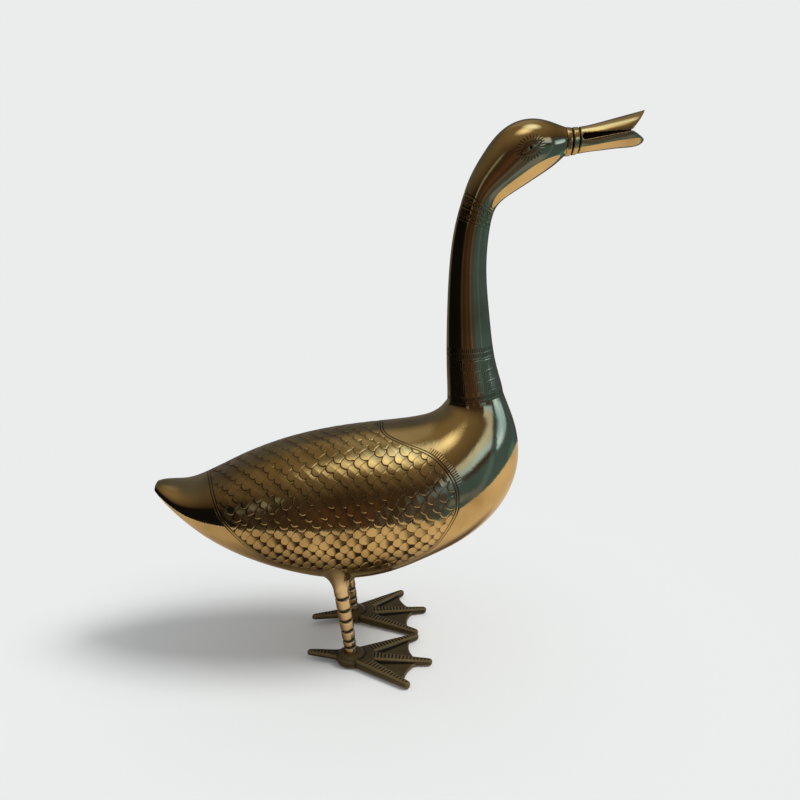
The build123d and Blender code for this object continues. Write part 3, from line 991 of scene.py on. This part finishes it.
def seen_directly(nodes, links):
    """One for rays from the camera, a reflection or through glass; zero for light on matt surfaces."""
    path = nodes.new("ShaderNodeLightPath")
    total = path.outputs["Is Camera Ray"]
    for kind in ("Is Glossy Ray", "Is Transmission Ray"):
        total = combine(nodes, links, "MAXIMUM", total, path.outputs[kind])
    return total


def mix_shaders(nodes, links, share, under, over, output):
    """Lays one shader over another by a share, and sends the result to the output."""
    mix = nodes.new("ShaderNodeMixShader")
    links.new(share, mix.inputs["Fac"])
    links.new(under.outputs[0], mix.inputs[1])
    links.new(over.outputs[0], mix.inputs[2])
    links.new(mix.outputs[0], nodes[output].inputs["Surface"])


def build_world():
    """Even light from all round, and the pale background that the camera sees."""
    world = bpy.data.worlds.new("world")
    bpy.context.scene.world = world
    world.use_nodes = True
    nodes, links = world.node_tree.nodes, world.node_tree.links
    ambient = nodes["Background"]
    ambient.inputs["Color"].default_value = (*AMBIENT, 1)
    pale = nodes.new("ShaderNodeBackground")
    pale.inputs["Color"].default_value = (*BACKGROUND, 1)
    mix_shaders(nodes, links, seen_directly(nodes, links), ambient, pale, "World Output")


def build_floor():
    """Pale matt floor that runs into the background colour away from the object."""
    reach = FLOOR_REACH
    corners = [(-reach, -reach, 0), (reach, -reach, 0), (reach, reach, 0), (-reach, reach, 0)]
    floor = make_mesh("floor", corners, [(0, 1, 2, 3)])
    floor.location.z = -FLOOR_DROP * MM
    material, nodes, links, shader = node_material("floor")
    shader.inputs["Base Color"].default_value = (*FLOOR_COLOUR, 1)
    shader.inputs["Roughness"].default_value = FLOOR_ROUGHNESS
    shader.inputs["Specular IOR Level"].default_value = FLOOR_SHINE
    place = nodes.new("ShaderNodeTexCoord")
    far = nodes.new("ShaderNodeVectorMath")
    far.operation = "LENGTH"
    links.new(place.outputs["Object"], far.inputs[0])
    start, end = (distance * MM for distance in FLOOR_FADE)
    fade = remap(nodes, links, far.outputs["Value"], start, end, 0.0, 1.0, "SMOOTHSTEP")
    share = combine(nodes, links, "MULTIPLY", fade, seen_directly(nodes, links))
    glow = nodes.new("ShaderNodeEmission")
    glow.inputs["Color"].default_value = (*BACKGROUND, 1)
    mix_shaders(nodes, links, share, shader, glow, "Material Output")
    floor.data.materials.append(material)


def towards(azimuth, elevation):
    """A direction: azimuth from the photograph's side towards the bill's side, elevation upwards."""
    a, e = radians(azimuth), radians(elevation)
    return Vector((sin(a) * cos(e), -cos(a) * cos(e), sin(e)))


def build_sun():
    """Soft even light from one side; the metal reflects the room instead."""
    lamp = bpy.data.lights.new("sun", "SUN")
    lamp.energy = SUN_STRENGTH
    lamp.angle = radians(SUN_SPREAD)
    piece = bpy.data.objects.new("sun", lamp)
    bpy.context.scene.collection.objects.link(piece)
    piece.rotation_euler = (-towards(*SUN_PLACE)).to_track_quat("-Z", "Y").to_euler()
    piece.visible_glossy = False


# What the polished metal reflects, as soft-edged cards: azimuth and elevation from and to, edge, colour
CARDS = [
    ((-135, -44), (-40, 20), 6.0, (0.006, 0.006, 0.008)),
    ((-39, -34), (-40, 8), 2.0, (0.06, 0.055, 0.055)),
    ((-42, -34), (11, 27), 4.0, (0.2, 0.22, 0.23)),
    ((-20, 0), (-20, 30), 12.0, (0.055, 0.034, 0.027)),
    ((4, 40), (-40, 9), 3.0, (0.07, 0.072, 0.092)),
    ((9, 13), (-40, 20), 2.0, (0.13, 0.11, 0.1)),
    ((30, 135), (-40, 9), 6.0, (0.06, 0.115, 0.19)),
    ((55, 62), (-25, 12), 3.0, (0.09, 0.17, 0.28)),
    ((13, 34), (4, 15), 5.0, (0.13, 0.22, 0.42)),
    ((32, 60), (-20, -11), 3.0, (0.16, 0.2, 0.3)),
    ((96, 118), (-14, -5), 3.0, (0.08, 0.21, 0.28)),
    ((54, 140), (9, 30), 4.0, (0.06, 0.095, 0.15)),
    ((22, 56), (17, 27), 4.0, (0.42, 0.66, 1.2)),
    ((24, 56), (25, 35), 4.0, (0.58, 0.68, 0.85)),
    ((66, 104), (9, 21), 2.5, (0.42, 0.8, 1.65)),
    ((68, 84), (10, 15), 4.0, (0.75, 1.2, 2.3)),
    ((142, 225), (-40, 14), 12.0, (0.13, 0.12, 0.115)),
    ((150, 212), (48, 84), 20.0, (0.3, 0.265, 0.23)),
    ((-14, -4), (-20, 12), 5.0, (0.085, 0.045, 0.03)),
]
# Round lamps overhead in the same reflections: azimuth and elevation, radius, edge, colour
LAMPS = [
    ((-24, 72), 10.0, 13.0, (1.3, 1.25, 1.1)),
    ((70, 84), 11.0, 11.0, (1.2, 1.35, 1.5)),
]
# The rest of the room: eye height, its dark, its brighter upper part and a back wall (from, to, edge)
ROOM_EYE = 170.0
ROOM_DARK = (0.042, 0.028, 0.023)
ROOM_HIGH = (0.21, 0.166, 0.115)
HIGH_FROM = 22.0
HIGH_REACH = 40.0
ROOM_BACK = (0.09, 0.09, 0.1)
BACK_SPAN = (110.0, 250.0, 60.0)
BACK_HEIGHT = (2.0, 45.0, 14.0)
# Its form: dome, rim, spokes, rings on floor, rim and dome, the first ring's share, and the bright floor
# with its bulges (azimuth, width, reach)
ROOM_RADIUS = 2300.0
ROOM_RIM = 6.0
ROOM_SPOKES = 360
ROOM_RINGS = (80, 30, 80)
ROOM_FIRST = 0.002
BRIGHT_RADIUS = 370.0
BRIGHT_BULGES = [
    (112.0, 42.0, 520.0),
    (36.0, 22.0, -150.0),
]
# Its floor: painted shade towards the tail (x, share), painted shadows of the bird (middle, reach), and
# where these fade
FLOOR_GLOW = (0.68, 0.55, 0.44)
FLOOR_TAIL_SHADE = ((-160.0, 0.0), (0.74, 1.0))
FLOOR_PAINTED_SHADOW = (0.12, 0.092, 0.065)
FLOOR_SHADOW_PLACES = [
    ((-65.0, 5.0), (125.0, 100.0)),
    ((75.0, 58.0), (110.0, 50.0)),
]
FLOOR_SHADOW_FADE = (1 / 2, 4 / 3)


def laid_over(under, over, share):
    """A colour laid over others by a share for each."""
    return under * (1 - share[:, None]) + np.array(over) * share[:, None]


def room_colour(azimuth, elevation):
    """Colour of the surroundings in each direction."""
    high = np.clip((elevation - HIGH_FROM) / HIGH_REACH, 0, 1)
    back = between(azimuth % 360, *BACK_SPAN) * between(elevation, *BACK_HEIGHT)
    colour = laid_over(laid_over(np.array(ROOM_DARK), ROOM_HIGH, high), ROOM_BACK, back)
    for (start, end), (low, top), soft, card in CARDS:
        middle = (start + end) / 2
        offset = (azimuth - middle + 180) % 360 - 180
        share = between(offset, start - middle, end - middle, soft) * between(elevation, low, top, soft)
        colour = laid_over(colour, card, share)
    turn, tilt = np.radians(azimuth), np.radians(elevation)
    rays = np.stack([np.sin(turn) * np.cos(tilt), -np.cos(turn) * np.cos(tilt), np.sin(tilt)], axis=1)
    for place, reach, soft, lamp in LAMPS:
        off = np.degrees(np.arccos(np.clip(rays @ np.array(towards(*place)), -1, 1)))
        colour = laid_over(colour, lamp, np.clip((reach - off) / soft + 0.5, 0, 1))
    return colour


def floor_colour(points):
    """Colour of the floor in reflections: warm, with painted shade towards the tail and a painted shadow
    of the bird below and behind the belly.
    """
    # Painted shadow of the bird and painted shade towards the tail, in the floor that the metal reflects
    offs = [np.hypot(*((points[:, :2] - place) / reach).T) for place, reach in FLOOR_SHADOW_PLACES]
    share = np.interp(np.min(offs, axis=0), FLOOR_SHADOW_FADE, (1, 0))
    tail_shade = np.interp(points[:, 0], *FLOOR_TAIL_SHADE)[:, None]
    return laid_over(np.array(FLOOR_GLOW) * tail_shade, FLOOR_PAINTED_SHADOW, share)


def build_room():
    """Dim surroundings, seen by reflections alone: a bright floor with a dark rim, and a dome."""
    floor_rings, rim_rings, dome_rings = ROOM_RINGS
    turn = np.linspace(-pi, pi, ROOM_SPOKES, endpoint=False)
    degrees = np.degrees(turn)
    inner = np.full(ROOM_SPOKES, BRIGHT_RADIUS)
    for middle, width, reach in BRIGHT_BULGES:
        inner += reach * hill(degrees - middle, width)
    level = np.zeros(ROOM_SPOKES)
    rings = [(inner * share, level) for share in np.linspace(ROOM_FIRST, 1, floor_rings)]
    for share in np.linspace(0, 1, rim_rings):
        rings.append((inner ** (1 - share) * ROOM_RADIUS**share, level + ROOM_RIM))
    for tilt in np.radians(np.linspace(1, 90, dome_rings)):
        rings.append((level + ROOM_RADIUS * cos(tilt), level + ROOM_RIM + ROOM_RADIUS * sin(tilt)))
    points = np.vstack([np.stack([r * np.sin(turn), -r * np.cos(turn), z], axis=1) for r, z in rings])
    faces = ring_faces(np.arange(len(points)).reshape(len(rings), ROOM_SPOKES))
    faces = np.delete(faces, floor_rings - 1, axis=0).reshape(-1, 4)
    room = make_mesh("room", points, faces)
    azimuth = np.tile(degrees, len(rings))
    elevation = np.degrees(np.arctan2(points[:, 2] - ROOM_EYE, np.hypot(points[:, 0], points[:, 1])))
    colour = room_colour(azimuth, elevation)
    on_floor = floor_rings * ROOM_SPOKES
    colour[:on_floor] = floor_colour(points[:on_floor])
    layer = room.data.attributes.new("glow", "FLOAT_VECTOR", "POINT")
    layer.data.foreach_set("vector", colour.astype(np.float32).ravel())
    material, nodes, links, shader = node_material("room")
    nodes.remove(shader)
    glow = nodes.new("ShaderNodeAttribute")
    glow.attribute_name = "glow"
    light = nodes.new("ShaderNodeEmission")
    links.new(glow.outputs["Vector"], light.inputs["Color"])
    links.new(light.outputs[0], nodes["Material Output"].inputs["Surface"])
    room.data.materials.append(material)
    room.visible_camera = False
    room.visible_diffuse = False
    room.visible_shadow = False
    room.visible_transmission = False


def build_stage():
    """Everything round the object."""
    build_camera()
    build_world()
    build_floor()
    build_sun()
    build_room()


def main():
    """The object's pieces with their materials, then everything round it."""
    # On the body the recess share paints shade into the feather root dips
    engraved = brass("engraved_brass", roughness=0.09, recess_darkening=0.35, marks=0.06, feathered=True)
    polished = brass("polished_brass", roughness=0.07, recess_darkening=0.4, marks=0.04)
    cast = brass("cast_brass", roughness=0.12, recess_darkening=0.7, marks=0.08)
    pale = {"tarnish": PALE_TARNISH, "clean": PALE_BRASS}
    turned = brass("turned_brass", roughness=0.1, recess_darkening=1.0, marks=0.05, **pale)
    worn = patina("foot_patina")
    build_body(engraved)
    build_neck(polished)
    build_bill(cast)
    for side in ("left", "right"):
        build_leg(side, turned)
        build_foot(side, worn)
        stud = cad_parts[f"{side}_leg_stud"].data
        stud.materials.clear()
        stud.materials.append(turned)
    build_stage()


main()
